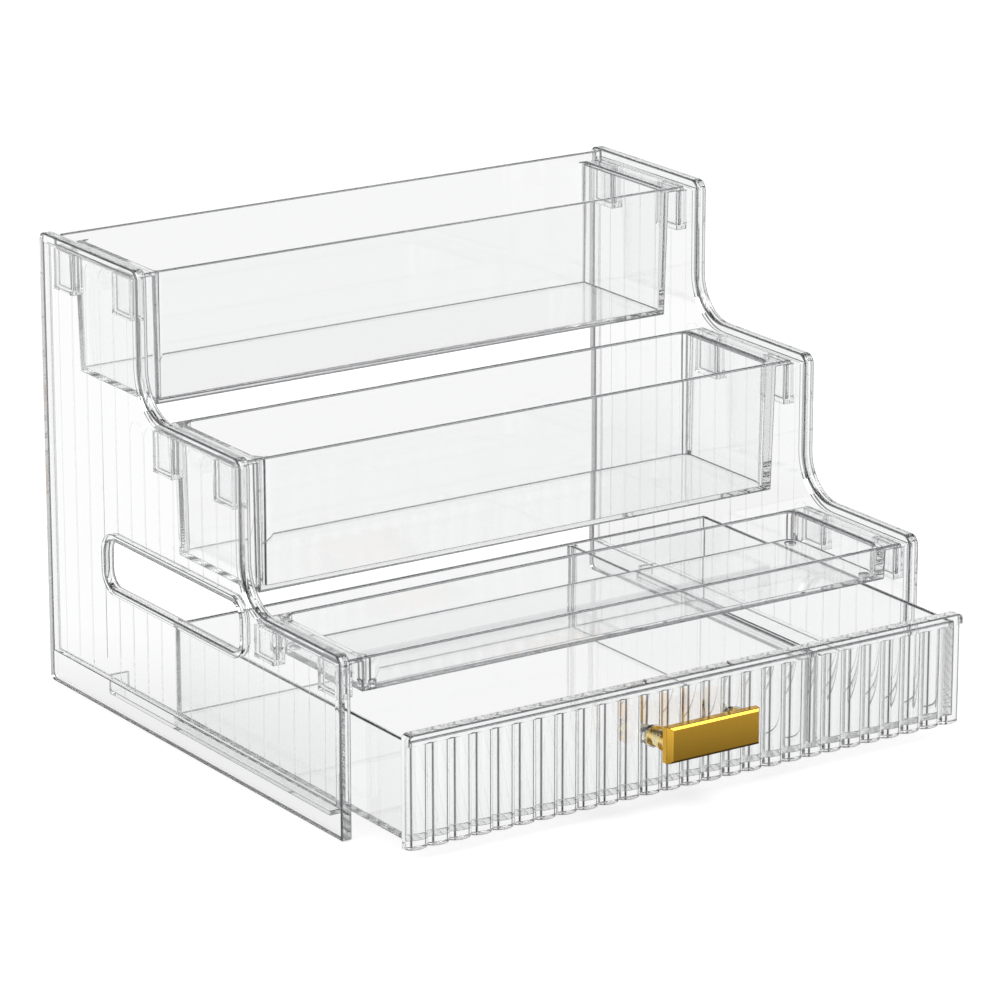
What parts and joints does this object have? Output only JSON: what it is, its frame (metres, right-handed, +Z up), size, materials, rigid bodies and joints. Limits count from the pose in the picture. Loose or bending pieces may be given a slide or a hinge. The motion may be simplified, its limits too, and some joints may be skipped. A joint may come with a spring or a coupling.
{
  "type": "cosmetic organizer",
  "caption": "Clear stepped vanity organizer: open trays on rising steps between fluted side panels, over a sliding drawer with a gold pull.",
  "frame": {"origin": "middle of the bounding box, on the plane that the side panels stand on, with the drawer pulled out 41 mm as it is modelled", "axes": "+Z up, +X to the organizer's right as a user in front of it sees it, +Y to the back; the drawer opens towards -Y"},
  "size_m": [0.3, 0.304, 0.208],
  "materials": {
    "clear_plastic": "clear, polished",
    "gold_metal": "polished gold plate",
    "screw_steel": "zinc plated"
  },
  "bodies": {
    "stand": {"left_side_panel": "clear_plastic", "right_side_panel": "clear_plastic", "upper_tray": "clear_plastic", "middle_tray": "clear_plastic", "lower_tray": "clear_plastic"},
    "drawer": {"drawer_box": "clear_plastic", "drawer_front": "clear_plastic", "drawer_divider": "clear_plastic", "handle_bar": "gold_metal", "handle_post_left": "gold_metal", "handle_post_right": "gold_metal", "handle_screws": "screw_steel"}
  },
  "joints": [
    {"name": "drawer_slide", "type": "slide", "parent": "stand", "child": "drawer", "axis": [0, -1, 0], "range_m": [-0.047, 0.083]}
  ]
}
